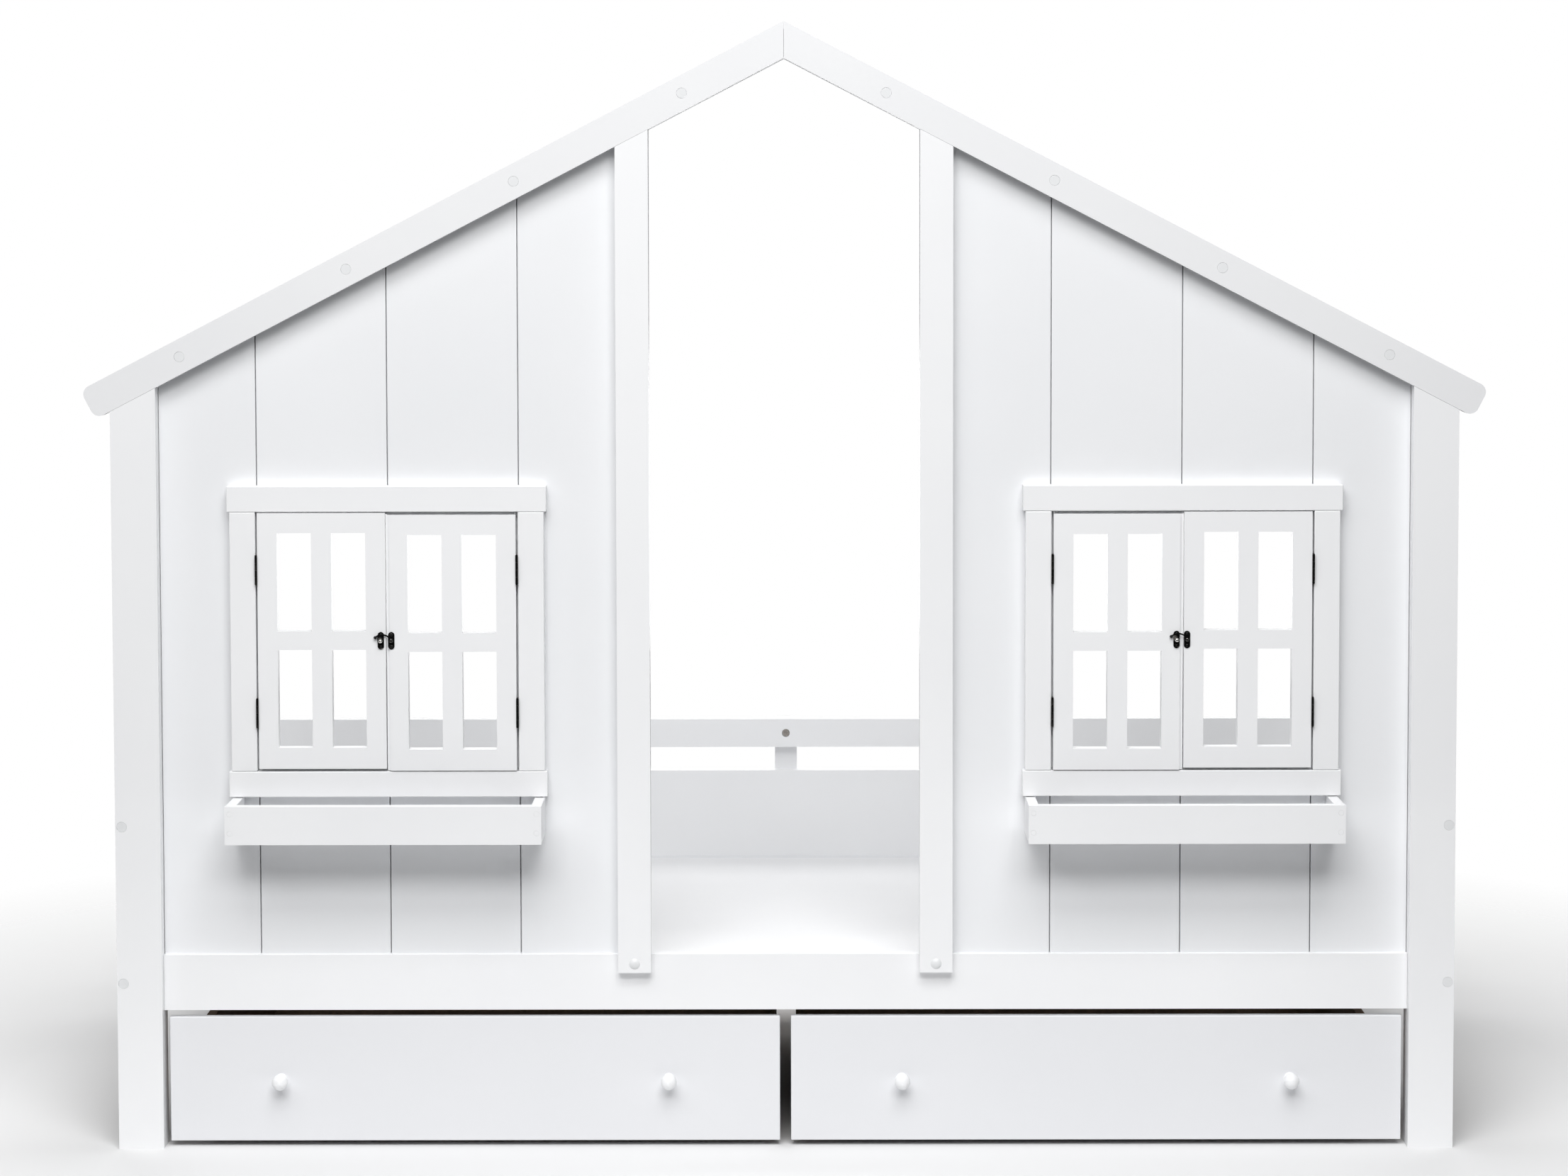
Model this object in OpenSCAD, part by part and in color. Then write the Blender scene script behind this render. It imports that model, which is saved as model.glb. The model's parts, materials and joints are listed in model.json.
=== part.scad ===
// Child's bed with a house front: gabled wall, doorway, two windows with hinged shutters and
// flower boxes, a low guarded back and two rolling drawers under the mattress base.
// Millimetres, +Z up, front facing -Y, origin on the floor at the middle of the footprint.

/* [House front] */
// Width over the outer faces of the front posts
house_w = 2080; // [2070:5:2120]
// Height of the ridge above the floor
ridge_h = 1751; // [1700:5:1800]
// Slope of the roof in degrees
roof_slope = 27.5; // [26:0.5:29]
// Length of a rafter along its centre line
rafter_len = 1210.5; // [1195:0.5:1230]
// Depth of a rafter, square to its length
rafter_h = 50; // [44:1:60]
// Radius of the rounded corners at a rafter's foot
rafter_round = 14; // [6:1:20]
// Half width of the doorway
door_half_w = 209; // [190:1:225]
// Width of the upright at each side of the doorway
upright_w = 51; // [40:1:60]
// Width of a wall plank
plank_w = 203; // [200:0.5:206]
// Thickness of a wall plank
plank_t = 15; // [12:1:18]

/* [Bed frame] */
// Depth from the front posts' face to the back posts' rear face
bed_depth = 995; // [985:1:1030]
// Width of a post
post_w = 70; // [60:1:80]
// Depth of a post
post_d = 45; // [42:1:50]
// Height of the low back posts
back_post_h = 560; // [545:5:700]
// Underside of the rails that carry the base
rail_low = 216; // [212:1:226]
// Height of the rails that carry the base
rail_h = 87; // [80:1:100]
// Top of the mattress base
base_top = 280; // [274:1:290]
// Top of the back board
back_board_top = 437; // [400:1:445]
// Underside of the guard rail
guard_low = 480; // [470:1:490]
// Height of the guard rail
guard_h = 51; // [40:1:60]

/* [Windows] */
// Underside of the window opening
window_low = 593; // [585:1:600]
// Height of the window opening
window_h = 404; // [380:1:420]
// Width of the boards round the window
trim_w = 40; // [30:1:50]
// Thickness of a shutter
shutter_t = 18; // [16:1:20]
// Width of a shutter's stiles
stile_w = 30.5; // [26:0.5:36]
// Height of a shutter's top rail
top_rail_h = 31; // [26:1:36]
// Height of a shutter's bottom rail
low_rail_h = 33; // [26:1:36]
// Width of a shutter's middle upright bar
mullion_w = 31; // [26:0.5:38]
// Height of a shutter's middle cross bar
cross_bar_h = 29; // [24:1:36]

/* [Flower boxes] */
// Length of a flower box
planter_w = 485; // [460:1:490]
// Height of a flower box
planter_h = 59; // [50:1:60]
// How far a flower box stands out in front of the posts
planter_reach = 75; // [60:1:90]
// Thickness of a flower box's boards
planter_t = 16; // [12:1:18]

/* [Drawers] */
// Gap under a drawer's front
drawer_gap = 9; // [6:1:12]
// Height of a drawer's front
drawer_h = 196; // [180:1:198]
// Depth of a drawer's box behind its front
drawer_depth = 800; // [600:10:860]
// Diameter of a drawer's ball knob
knob_d = 24.5; // [18:0.5:28]
// Diameter of a drawer's wheel
wheel_d = 30; // [24:1:30]

/* [Hidden] */

$fn = 64;
SIDES = [-1, 1];
white_lacquer = [0.94, 0.945, 0.955];
white_plank = [0.91, 0.92, 0.93];
white_drawer = [0.88, 0.885, 0.90];
raw_board = [0.62, 0.50, 0.38];
black_iron = [0.08, 0.075, 0.07];
zinc = [0.60, 0.57, 0.55];
cap_plastic = [0.90, 0.91, 0.92];
wheel_black = [0.10, 0.10, 0.11];

// Every depth below is measured from the front posts' face; y_shift centres the footprint.
y_shift = planter_reach - (planter_reach + bed_depth) / 2;
joint_gap = 0.3;
eps = 0.01;
far = 3000;

// Roof
roof_drop = tan(roof_slope);
rafter_t = 25;
rafter_tall = rafter_h / cos(roof_slope);
ridge_under = ridge_h - rafter_tall;
mitre_gap = 0.2;
backing_t = 20;
backing_back = rafter_t + plank_t + backing_t;
plank_top_rise = 46;

// Posts and rails
post_out = house_w / 2;
post_in = post_out - post_w;
rail_front = 15;
rail_back = rafter_t + plank_t;
rail_top = rail_low + rail_h;
back_in = bed_depth - post_d;
back_board_t = 22;
strut_w = 40;
end_rail_t = 20;
end_rail_in = post_out - end_rail_t;

// Planks: the joints are ship-lapped
lap = 8;
lap_depth = 8;
lap_gap = 0.5;
plank_gap = 2;
planks_in = door_half_w + 0.5;
window_x = planks_in + 2 * plank_w;
window_half = plank_w;
upright_low = 277;

// Battens behind the planks: the heights of their lower edges
batten_w = 44;
batten_t = 20;
BATTENS = [512, 1040];

// Mattress base
board_t = 15;
ledger_t = 20;
ledger_low = 225;
bearer_w = 40;
board_split = 370;
BEARERS = [-1000, -685, -board_split, 0, board_split, 685, 1000];

// Window boards and shutters
trim_front = 3;
trim_over = 4;
// Lip at the back of each trim board, which the shutters close against
stop_w = 5;
stop_gap = 0.6;
jamb_gap = 0.4;
shutter_front = 1;
shutter_side_gap = 3.2;
shutter_mid_in = 2;
shutter_end_gap = 3;
shutter_w = window_half - shutter_side_gap - shutter_mid_in;
shutter_low = window_low + shutter_end_gap;
shutter_h = window_h - 2 * shutter_end_gap;
pane_w = (shutter_w - 2 * stile_w - mullion_w) / 2;
pane_h = (shutter_h - top_rail_h - low_rail_h - cross_bar_h) / 2;
// The outer leaves hang a little higher than the inner ones
leaf_lift = 1.6;
// An inner leaf's meeting edge is stepped: a lip stands behind its set-back front
meeting_gap = 1.5;
meeting_front = 4.2;
meeting_step = 4;

// Butt hinges: two on each shutter, the knuckles just proud of the shutter's face
HINGE_Z = [685, 907.5];
hinge_len = 45;
hinge_x = window_half - shutter_side_gap / 2;
hinge_y = -1.7;
knuckle_r = 2;
knuckle_count = 4;
knuckle_gap = 0.25;
knuckle_len = (hinge_len - (knuckle_count - 1) * knuckle_gap) / knuckle_count;
hinge_pin_r = 1;
running_gap = 0.05;
leaf_t = 1.05;
leaf_front = 1.15;
leaf_back = 15;

// Swing-hook latches
latch_z = 797.5;
strike_x = 9.5;
stud_x = 6.7;
plate_w = 9.8;
plate_len = 27;
plate_t = 1.2;
latch_screw_z = 9.2;
screw_r = 1.1;
screw_head_r = 2.3;
hook_t = 1.6;
hook_w = 2.3;
hook_front = -3.2;
hook_eye_r = 3.9;
pivot_r = 1.5;
pivot_head_r = 2.7;
ball_r = 3.2;
strike_reach = 9;
hook_arc_x = -14;
hook_arc_z = -5.6;
hook_arc_r = norm([hook_arc_x, hook_arc_z]);
hook_ball_r = 2.5;
hook_web = [6.6, 7];
hook_lip = [3, 3.7];

// Flower boxes
planter_top = window_low - trim_w - 1.5;
planter_low = planter_top - planter_h;
planter_floor_t = 10;
plug_r = 4;
plug_depth = 10;
plug_in = 7.5;
PLUG_Z = [17.5, 47.5];

// Drawers
front_t = 15;
drawer_front_y = 15;
front_side_gap = 8.5;
box_in = 17;
box_out = post_in - 53;
box_t = 14;
box_floor_low = 34;
box_floor_t = 8;
box_top = 190;
box_front = drawer_front_y + front_t;
box_back = box_front + drawer_depth;
knob_z = 105.5;
knob_spread = 303;
knob_reach = 18;
wheel_r = wheel_d / 2;
wheel_w = 12;
axle_r = 3;
wheel_in_x = 43;
wheel_in_y = 50;

// Bolts, barrel nuts and cover caps
bolt_r = 4;
bolt_hole_r = 4.2;
head_r = 6.5;
head_h = 7;
counterbore_r = 8.1;
counterbore = 13;
cap_r = 8;
cap_t = 5;
cap_sink = 0.3;
bolt_len = 77;
bolt_bite = 45;
nut_r = 5;
nut_hole_r = 5.1;
nut_in = 30;
nut_back = 2;
end_bolt_x = post_out - end_rail_t / 2;
END_BOLT_Z = [261, 507];
RAIL_BOLT_Z = [237, 282];
BOARD_BOLT_Z = [300, 400];
guard_bolt_z = 490;
rail_bolt_y = (rail_front + rail_back) / 2;
board_bolt_y = back_in + back_board_t / 2;
strut_bolt_z = guard_low + guard_h / 2;
roof_bolt_r = 3;
roof_counterbore = 8;
roof_cap_t = 3;
roof_head_h = 4;
ROOF_BOLT_X = [157, 415.5, 674, 932];
upright_cap_z = 291;
upright_cap_x = door_half_w + upright_w / 2;
upright_cap_r = 8.6;
upright_screw_r = 2.5;

// Height of the rafters' underside and centre line at a distance from the middle
function under(x) = ridge_under - roof_drop * abs(x);
function roof_mid(x) = under(x) + rafter_tall / 2;

// Puts a piece drawn in the front's own depths into the part's frame
module placed() {
    translate([0, y_shift, 0]) children();
}

// Draws on the right for side 1 and mirrored to the left for side -1
module handed(side) {
    mirror([side < 0 ? 1 : 0, 0, 0]) children();
}

// A board from its lowest corner to its highest
module board(low, high) {
    translate(low) cube(high - low);
}

// A flat outline drawn in X and Z, given its thickness from y0 to y1
module upright_slab(y0, y1) {
    translate([0, y1, 0]) rotate([90, 0, 0]) linear_extrude(y1 - y0) children();
}

// Round bars along Y and X
module bar_y(x, z, r, y0, y1) {
    translate([x, y0, z]) rotate([-90, 0, 0]) cylinder(h = y1 - y0, r = r);
}

module bar_x(y, z, r, x0, x1) {
    translate([x0, y, z]) rotate([0, 90, 0]) cylinder(h = x1 - x0, r = r);
}

// ---------- bolted joints ----------

// Hole for an end-rail bolt, from a post's outer face at depth 0 towards +Y
module end_bolt_hole(z) {
    bar_y(end_bolt_x, z, counterbore_r, -eps, counterbore);
    bar_y(end_bolt_x, z, bolt_hole_r, 0, post_d + bolt_bite);
    bar_x(post_d + nut_in, z, nut_hole_r, end_rail_in - eps, end_bolt_x + head_r);
}

module end_bolt(z) {
    bar_y(end_bolt_x, z, head_r, counterbore - head_h, counterbore - eps);
    bar_y(end_bolt_x, z, bolt_r, counterbore - head_h, counterbore + bolt_len);
}

module end_nut(z) {
    difference() {
        bar_x(post_d + nut_in, z, nut_r, end_rail_in + nut_back, end_bolt_x + head_r - 1);
        bar_y(end_bolt_x, z, bolt_r + running_gap, 0, post_d + bolt_bite);
    }
}

// The same from the back: the bed's depth is turned round
module from_back() {
    translate([0, bed_depth, 0]) mirror([0, 1, 0]) children();
}

// Hole for a bolt from a post's outer side into the end of a rail or board
module side_bolt_hole(y, z, open_y) {
    bar_x(y, z, counterbore_r, post_out - counterbore, post_out + eps);
    bar_x(y, z, bolt_hole_r, post_in - bolt_bite, post_out);
    bar_y(post_in - nut_in, z, nut_hole_r, y - head_r, open_y);
}

module side_bolt(y, z) {
    bar_x(y, z, head_r, post_out - counterbore + eps, post_out - counterbore + head_h);
    bar_x(y, z, bolt_r, post_in - nut_in - head_r, post_out - counterbore + head_h);
}

module side_nut(y, z, open_y) {
    difference() {
        bar_y(post_in - nut_in, z, nut_r, y - head_r + 1, open_y - nut_back);
        bar_x(y, z, bolt_r + running_gap, post_in - bolt_bite, post_out);
    }
}

module front_rail_bolt_holes() {
    for (z = RAIL_BOLT_Z) side_bolt_hole(rail_bolt_y, z, rail_back + eps);
}

module back_bolt_holes() {
    back_open = back_in + back_board_t + eps;
    for (z = BOARD_BOLT_Z) side_bolt_hole(board_bolt_y, z, back_open);
    side_bolt_hole(board_bolt_y, guard_bolt_z, back_open);
}

// Hole for a roof bolt through the rafter, the plank and the backing rafter
module roof_bolt_hole(x) {
    bar_y(x, roof_mid(x), counterbore_r, -eps, roof_counterbore);
    bar_y(x, roof_mid(x), roof_bolt_r + 0.2, 0, backing_back + eps);
}

module upright_screw_hole() {
    bar_y(upright_cap_x, upright_cap_z, upright_screw_r + 0.1, -eps, rail_back - 4);
}

// ---------- posts, rails and boards ----------

module front_post(side) {
    color(white_lacquer) placed() handed(side) difference() {
        upright_slab(0, post_d) polygon([[post_in, 0], [post_out, 0],
            [post_out, under(post_out) - joint_gap], [post_in, under(post_in) - joint_gap]]);
        for (z = END_BOLT_Z) end_bolt_hole(z);
        front_rail_bolt_holes();
    }
}

module back_post(side) {
    color(white_lacquer) placed() handed(side) difference() {
        board([post_in, back_in, 0], [post_out, bed_depth, back_post_h]);
        from_back() for (z = END_BOLT_Z) end_bolt_hole(z);
        back_bolt_holes();
    }
}

module front_rail() {
    rail_half = post_in - joint_gap;
    color(white_lacquer) placed() difference() {
        board([-rail_half, rail_front, rail_low], [rail_half, rail_back, rail_top]);
        for (side = SIDES) handed(side) {
            front_rail_bolt_holes();
            upright_screw_hole();
        }
    }
}

module back_board() {
    half = post_in - joint_gap;
    color(white_lacquer) placed() difference() {
        board([-half, back_in, rail_low], [half, back_in + back_board_t, back_board_top]);
        for (side = SIDES) handed(side) back_bolt_holes();
    }
}

module guard_rail() {
    half = post_in - joint_gap;
    color(white_lacquer) placed() difference() {
        board([-half, back_in, guard_low], [half, back_in + back_board_t, guard_low + guard_h]);
        for (side = SIDES) handed(side) back_bolt_holes();
        strut_bolt_hole();
    }
}

module strut_bolt_hole() {
    bar_y(0, strut_bolt_z, head_r + 0.7, back_in - eps, back_in + 3);
    bar_y(0, strut_bolt_z, roof_bolt_r + 0.2, back_in, bed_depth + eps);
}

module guard_strut() {
    color(white_lacquer) placed() difference() {
        board([-strut_w / 2, back_in + back_board_t, rail_low],
            [strut_w / 2, bed_depth - 5, guard_low + guard_h]);
        strut_bolt_hole();
    }
}

module end_rails() {
    color(white_lacquer) placed() for (side = SIDES) handed(side) difference() {
        union() {
            board([end_rail_in, post_d, rail_low], [post_out, back_in, rail_top]);
            board([end_rail_in, post_d, guard_low], [post_out, back_in, guard_low + guard_h]);
        }
        for (z = END_BOLT_Z) {
            end_bolt_hole(z);
            from_back() end_bolt_hole(z);
        }
    }
}

// ---------- roof ----------

// Outline of one rafter in X and Z, square-cut at its foot with rounded corners
module rafter_outline() {
    half = rafter_h / 2;
    straight = rafter_len - rafter_round;
    intersection() {
        translate([0, ridge_h - rafter_tall / 2]) rotate(-roof_slope) {
            translate([-rafter_h, -half]) square([rafter_h + straight, rafter_h]);
            translate([0, rafter_round - half]) square([rafter_len, rafter_h - 2 * rafter_round]);
            for (s = SIDES) translate([straight, s * (half - rafter_round)]) circle(r = rafter_round);
        }
        translate([mitre_gap, 0]) square([far, far]);
    }
}

module rafter(side) {
    color(white_lacquer) placed() handed(side) difference() {
        upright_slab(0, rafter_t) rafter_outline();
        for (x = ROOF_BOLT_X) roof_bolt_hole(x);
    }
}

module backing_rafters() {
    color(white_plank) placed() for (side = SIDES) handed(side) difference() {
        upright_slab(rail_back, backing_back) polygon([
            [mitre_gap, under(0)], [mitre_gap, ridge_h - 1],
            [post_out, under(post_out) + rafter_tall - 1], [post_out, under(post_out) + 1]]);
        for (x = ROOF_BOLT_X) roof_bolt_hole(x);
    }
}

// Chevron that joins the rafters at the ridge, hidden between them and the backing rafters
module ridge_plate() {
    edge = door_half_w - 1;
    color(white_plank) placed() difference() {
        upright_slab(rafter_t + 0.1, rail_back - 0.1) polygon([
            [0, ridge_under + 2], [edge, under(edge) + 2], [edge, under(edge) + plank_top_rise],
            [0, ridge_under + plank_top_rise],
            [-edge, under(edge) + plank_top_rise], [-edge, under(edge) + 2]]);
        for (side = SIDES) handed(side) roof_bolt_hole(ROOF_BOLT_X[0]);
    }
}

// ---------- wall ----------

module door_upright(side) {
    outer = door_half_w + upright_w;
    color(white_lacquer) placed() handed(side) difference() {
        upright_slab(0, rafter_t) polygon([[door_half_w, upright_low], [outer, upright_low],
            [outer, under(outer) - joint_gap], [door_half_w, under(door_half_w) - joint_gap]]);
        board([0, rail_front, 0], [far, far, rail_top]);
        upright_screw_hole();
    }
}

// Outline of a plank between two distances from the middle, topped square or along the roof
module plank_outline(x0, x1, low, high) {
    polygon([[x0, low], [x1, low], [x1, min(high, under(x1) + plank_top_rise)],
        [x0, min(high, under(x0) + plank_top_rise)]]);
}

// One plank with a ship-lap lip under its outer neighbour
module plank(x0, x1, low, high, lip, seat) {
    front_in = x0 + plank_gap / 2;
    front_out = lip ? x1 - plank_gap / 2 : x1;
    back_start = seat ? x0 + lap + plank_gap / 2 : front_in;
    upright_slab(rafter_t, rafter_t + lap_depth) plank_outline(front_in, front_out, low, high);
    upright_slab(rafter_t + lap_depth, rail_back) plank_outline(back_start, front_out, low, high);
    if (lip) upright_slab(rafter_t + lap_depth + lap_gap, rail_back)
        plank_outline(front_out - eps, x1 + lap - plank_gap / 2, low, high);
}

module wall_planks(side) {
    x0 = planks_in - plank_gap / 2;
    x1 = planks_in + plank_w;
    x2 = x1 + plank_w;
    x3 = x2 + plank_w;
    x4 = post_in - 1;
    head = window_low + window_h;
    color(white_plank) placed() handed(side) difference() {
        union() {
            plank(x0, x1, rail_top, far, true, false);
            plank(x1, x2, rail_top, window_low, true, true);
            plank(x1, x2, head, far, true, true);
            plank(x2, x3, rail_top, window_low, true, true);
            plank(x2, x3, head, far, true, true);
            plank(x3, x4, rail_top, far, false, true);
        }
        // The lips are cut back so that the window opening is clear
        board([x1 - plank_gap / 2, rafter_t, window_low + eps], [x3, rail_back + eps, head - eps]);
        for (x = ROOF_BOLT_X) roof_bolt_hole(x);
    }
}

module wall_battens() {
    inner = planks_in + 3;
    outer = post_in - 3;
    color(white_plank) placed() for (side = SIDES) handed(side) for (z = BATTENS)
        board([inner, rail_back, z], [outer, rail_back + batten_t, z + batten_w]);
}

// ---------- mattress base ----------

module base_ledgers() {
    color(white_plank) placed() {
        board([1 - post_in, rail_back, ledger_low], [post_in - 1, rail_back + ledger_t, base_top]);
        board([1 - post_in, back_in - ledger_t, ledger_low], [post_in - 1, back_in, base_top]);
    }
}

module base_bearers() {
    color(white_plank) placed() for (x = BEARERS)
        board([x - bearer_w / 2, rail_back + ledger_t, ledger_low],
            [x + bearer_w / 2, back_in - ledger_t, base_top - board_t]);
}

module base_boards() {
    y0 = rail_back + ledger_t + 0.5;
    y1 = back_in - ledger_t - 0.5;
    split = board_split - 1;
    color(white_lacquer) placed() {
        board([-split, y0, base_top - board_t], [split, y1, base_top]);
        for (side = SIDES) handed(side)
            board([split + 2, y0, base_top - board_t], [end_rail_in - 2, y1, base_top]);
    }
}

// ---------- windows ----------

module window_trim(side) {
    outer = window_half + trim_w;
    head = window_low + window_h;
    long_half = outer + trim_over;
    stop_in = window_half - stop_w;
    stop_y = shutter_front + shutter_t + stop_gap;
    jamb_low = window_low + jamb_gap;
    jamb_top = head - jamb_gap;
    color(white_lacquer) placed() translate([side * window_x, 0, 0]) {
        board([-long_half, trim_front, head], [long_half, rafter_t, head + trim_w]);
        board([-stop_in + jamb_gap, stop_y, head - stop_w],
            [stop_in - jamb_gap, rafter_t, head + eps]);
        board([-long_half, trim_front, window_low - trim_w], [long_half, rafter_t, window_low]);
        board([-stop_in + jamb_gap, stop_y, window_low - eps],
            [stop_in - jamb_gap, rafter_t, window_low + stop_w]);
        for (s = SIDES) handed(s) {
            board([window_half, trim_front, jamb_low], [outer, rafter_t, jamb_top]);
            board([stop_in, stop_y, jamb_low], [window_half + eps, rafter_t, jamb_top]);
        }
    }
}

// A shutter of the window at centre; leaf is -1 for its left shutter and 1 for its right
module shutter(centre, leaf) {
    outer_leaf = centre * leaf > 0;
    low = shutter_low + (outer_leaf ? leaf_lift : -leaf_lift);
    front = outer_leaf ? shutter_mid_in : meeting_front;
    lip = outer_leaf ? shutter_mid_in : meeting_gap - shutter_mid_in;
    hole_x = leaf < 0 ? strike_x : stud_x;
    color(white_lacquer) placed() translate([centre, 0, 0]) handed(leaf) difference() {
        union() {
            board([front, shutter_front, low],
                [shutter_mid_in + shutter_w, shutter_front + shutter_t, low + shutter_h]);
            board([lip, shutter_front + meeting_step, low],
                [front + eps, shutter_front + shutter_t, low + shutter_h]);
        }
        for (i = [0, 1]) for (j = [0, 1])
            translate([shutter_mid_in + stile_w + i * (pane_w + mullion_w), 0,
                low + low_rail_h + j * (pane_h + cross_bar_h)]) cube([pane_w, far, pane_h]);
        for (s = SIDES) bar_y(hole_x, latch_z + s * latch_screw_z, screw_r + 0.1, 0, 12);
        bar_y(hole_x, latch_z, pivot_r + 0.1, 0, 6);
    }
}

// ---------- hinges ----------

// Start of knuckle number i of a hinge whose lower end is at z
function knuckle_z(z, i) = z + i * (knuckle_len + knuckle_gap);

// One leaf of a butt hinge about the Z axis through 0, 0: its plate stands on the +X side
module hinge_leaf(z, knuckles, bore_r) {
    plate_x = shutter_side_gap / 2 - leaf_t;
    difference() {
        union() {
            board([plate_x, leaf_front - hinge_y, z],
                [plate_x + leaf_t, leaf_back - hinge_y, z + hinge_len]);
            for (i = knuckles) translate([0, 0, knuckle_z(z, i)]) {
                cylinder(h = knuckle_len, r = knuckle_r);
                translate([plate_x, 0, 0]) cube([leaf_t, leaf_front - hinge_y + eps, knuckle_len]);
            }
        }
        translate([0, 0, z - 1]) cylinder(h = hinge_len + 2, r = bore_r);
    }
}

// Puts a hinge drawn about the Z axis at each hinge of a leaf
module at_hinges(centre, leaf) {
    placed() translate([centre, 0, 0]) handed(leaf) translate([hinge_x, hinge_y, 0]) children();
}

module fixed_hinge_leaves() {
    color(black_iron) for (side = SIDES) for (leaf = SIDES) at_hinges(side * window_x, leaf)
        for (z = HINGE_Z) hinge_leaf(z - hinge_len / 2, [0, 2], hinge_pin_r + running_gap);
}

module shutter_hinge_leaves(centre, leaf) {
    color(black_iron) at_hinges(centre, leaf) mirror([1, 0, 0])
        for (z = HINGE_Z) hinge_leaf(z - hinge_len / 2, [1, 3], hinge_pin_r + running_gap);
}

module hinge_pins() {
    tip = 0.9;
    color(black_iron) for (side = SIDES) for (leaf = SIDES) at_hinges(side * window_x, leaf)
        for (z = HINGE_Z) translate([0, 0, z - hinge_len / 2]) {
            translate([0, 0, -tip / 2]) cylinder(h = hinge_len + tip, r = hinge_pin_r);
            translate([0, 0, hinge_len]) cylinder(h = tip, r = knuckle_r - 0.4);
            translate([0, 0, -tip]) cylinder(h = tip, r = knuckle_r - 0.4);
        }
}

// ---------- latches ----------

module latch_back_plate(x) {
    round_r = plate_w / 2;
    back = shutter_front - eps;
    difference() {
        union() {
            board([x - round_r, back - plate_t, latch_z - plate_len / 2 + round_r],
                [x + round_r, back, latch_z + plate_len / 2 - round_r]);
            for (s = SIDES) bar_y(x, latch_z + s * (plate_len / 2 - round_r), round_r,
                back - plate_t, back);
        }
        for (s = SIDES) bar_y(x, latch_z + s * latch_screw_z, screw_r + 0.1, -far, far);
    }
}

module latch_screws(x) {
    face = shutter_front - plate_t - 0.06;
    for (s = SIDES) translate([x, face, latch_z + s * latch_screw_z]) rotate([90, 0, 0]) {
        cylinder(h = 0.4, r = screw_head_r);
        intersection() {
            translate([0, 0, -1.9]) sphere(r = 3);
            translate([0, 0, 0.2]) cylinder(h = 3, r = screw_head_r);
        }
        translate([0, 0, -10]) cylinder(h = 10.2, r = screw_r);
    }
}

// Left plate of a latch, with the ball-headed post that the hook drops behind
module latch_strike(side) {
    x = side * window_x - strike_x;
    color(black_iron) placed() {
        latch_back_plate(x);
        latch_screws(x);
        bar_y(x, latch_z, pivot_r, 2 - strike_reach, shutter_front + 5);
        translate([x, 2 - strike_reach, latch_z]) sphere(r = ball_r);
    }
}

// Right plate of a latch, with the headed stud that the hook turns on
module latch_plate(side) {
    x = side * window_x + stud_x;
    head_back = hook_front - 0.2;
    color(black_iron) placed() {
        latch_back_plate(x);
        latch_screws(x);
        bar_y(x, latch_z, pivot_r, head_back - 1, shutter_front + 5);
        bar_y(x, latch_z, pivot_head_r, head_back - 1.2, head_back);
    }
}

// The arched arm, its eye, the web and lip that rest over the post, and the ball at its tip
module latch_hook(side) {
    tip_angle = 135.2;
    start_angle = atan2(hook_arc_z, hook_arc_x) + 180;
    reach = 2 * hook_arc_r;
    post_x = -stud_x - strike_x;
    color(black_iron) placed() translate([side * window_x + stud_x, 0, latch_z]) {
        upright_slab(hook_front, hook_front + hook_t) difference() {
            union() {
                circle(r = hook_eye_r);
                translate([hook_arc_x, hook_arc_z]) intersection() {
                    difference() {
                        circle(r = hook_arc_r + hook_w / 2);
                        circle(r = hook_arc_r - hook_w / 2);
                    }
                    polygon([[0, 0], [reach * cos(start_angle), reach * sin(start_angle)],
                        [reach, reach], [0, reach],
                        [reach * cos(tip_angle), reach * sin(tip_angle)]]);
                }
                translate([post_x - 5.1, pivot_r + 0.1]) square(hook_web);
                translate([post_x - 5.1, -2]) square(hook_lip);
            }
            circle(r = pivot_r + running_gap);
        }
        translate([hook_arc_x + hook_arc_r * cos(tip_angle), hook_front + hook_t / 2,
            hook_arc_z + hook_arc_r * sin(tip_angle)]) rotate([90, 0, 0]) sphere(r = hook_ball_r);
    }
}

// ---------- flower boxes ----------

module at_windows() {
    placed() for (side = SIDES) translate([side * window_x, 0, 0]) children();
}

module planter_plug_holes(r, front, depth) {
    for (s = SIDES) for (z = PLUG_Z)
        bar_y(s * (planter_w / 2 - plug_in), planter_low + z, r, front, front + depth);
}

module planter_fronts() {
    half = planter_w / 2;
    color(white_lacquer) at_windows() difference() {
        board([-half, -planter_reach, planter_low], [half, planter_t - planter_reach, planter_top]);
        planter_plug_holes(plug_r + 0.1, -planter_reach - eps, plug_depth);
    }
}

module planter_ends() {
    half = planter_w / 2;
    color(white_lacquer) at_windows() for (s = SIDES) handed(s)
        board([half - planter_t, planter_t - planter_reach, planter_low],
            [half, rafter_t, planter_top]);
}

module planter_floors() {
    half = planter_w / 2 - planter_t;
    color(white_lacquer) at_windows()
        board([-half, planter_t - planter_reach, planter_low + 2],
            [half, rafter_t, planter_low + 2 + planter_floor_t]);
}

module planter_plugs() {
    color(white_lacquer) at_windows()
        planter_plug_holes(plug_r, 0.2 - planter_reach, plug_depth - 1);
}

// ---------- bolts, nuts and caps ----------

module roof_bolt(x) {
    bar_y(x, roof_mid(x), head_r, roof_counterbore - roof_head_h, roof_counterbore - eps);
    bar_y(x, roof_mid(x), roof_bolt_r, roof_counterbore - roof_head_h, backing_back + 6);
}

module strut_bolt() {
    bar_y(0, strut_bolt_z, head_r, back_in + 0.5, back_in + 3 - eps);
    bar_y(0, strut_bolt_z, roof_bolt_r, back_in + 2, bed_depth - 2);
}

module upright_screw() {
    bar_y(upright_cap_x, upright_cap_z, upright_screw_r, 0.3, rail_back - 6);
}

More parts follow.
